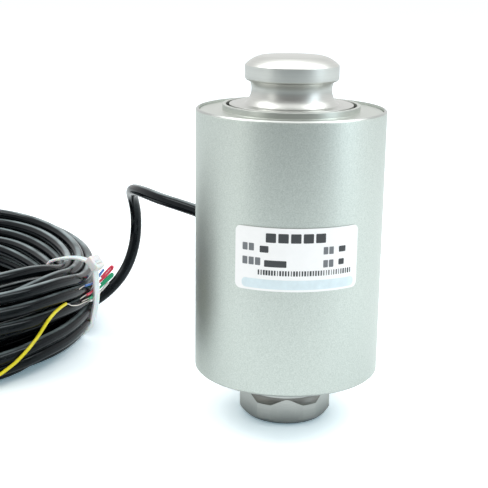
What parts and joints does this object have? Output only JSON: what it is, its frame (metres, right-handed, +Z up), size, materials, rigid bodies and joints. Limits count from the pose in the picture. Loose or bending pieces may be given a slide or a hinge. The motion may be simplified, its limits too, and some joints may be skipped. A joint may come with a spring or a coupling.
{
  "type": "column load cell",
  "caption": "Turned steel column with a crowned button and a hexagonal foot, sealed in a tubular shell, that measures a compressive load and sends it down a coiled lead.",
  "frame": {"origin": "middle of the foot's lowest face, on the surface that the load cell stands on", "axes": "+Z up along the column's axis towards the button; -Y towards the label's side; the lead leaves to the back left and the coil lies at -X"},
  "size_m": [0.3405, 0.231, 0.15],
  "materials": {
    "column_steel": "fine turned satin stainless steel",
    "blasted_shell": "bead-blasted matt nickel grey",
    "cover_steel": "satin turned steel",
    "seal_rubber": "matt black rubber",
    "gauge_foil": "amber film with etched foil",
    "board": "green lacquered glass laminate",
    "post_nylon": "natural moulded nylon",
    "resistor": "lacquered body",
    "bridge_wire": "lacquered copper wire",
    "gland_steel": "bright nickel-plated",
    "label": "glossy white film",
    "cable_sheath": "semi-gloss black sheath",
    "tie_nylon": "translucent natural nylon",
    "core_red": "semi-gloss insulation",
    "core_blue": "semi-gloss insulation",
    "core_green": "semi-gloss insulation",
    "core_white": "semi-gloss insulation",
    "sleeve_yellow": "satin sleeve"
  },
  "bodies": {
    "root": {"column": "column_steel", "shell": "blasted_shell", "upper_cover": "cover_steel", "lower_cover": "cover_steel", "upper_seal": "seal_rubber", "lower_seal": "seal_rubber", "strain_gauge_1": "gauge_foil", "strain_gauge_2": "gauge_foil", "strain_gauge_3": "gauge_foil", "strain_gauge_4": "gauge_foil", "compensation_board": "board", "board_post_1": "post_nylon", "board_post_2": "post_nylon", "board_post_3": "post_nylon", "modulus_resistor_1": "resistor", "modulus_resistor_2": "resistor", "span_resistor": "resistor", "zero_resistor": "resistor", "bridge_wire_1": "bridge_wire", "bridge_wire_2": "bridge_wire", "bridge_wire_3": "bridge_wire", "bridge_wire_4": "bridge_wire", "signal_wire_red": "core_red", "signal_wire_green": "core_green", "signal_wire_white": "core_white", "signal_wire_blue": "core_blue", "gland_body": "gland_steel", "gland_washer": "seal_rubber", "gland_locknut": "gland_steel", "gland_seal": "seal_rubber", "gland_cap": "gland_steel", "label": "label", "cable_lead": "cable_sheath", "cable_coil": "cable_sheath", "cable_tie": "tie_nylon", "core_red": "core_red", "core_blue": "core_blue", "core_green": "core_green", "core_white": "core_white", "drain_sleeve": "sleeve_yellow"}
  },
  "joints": []
}
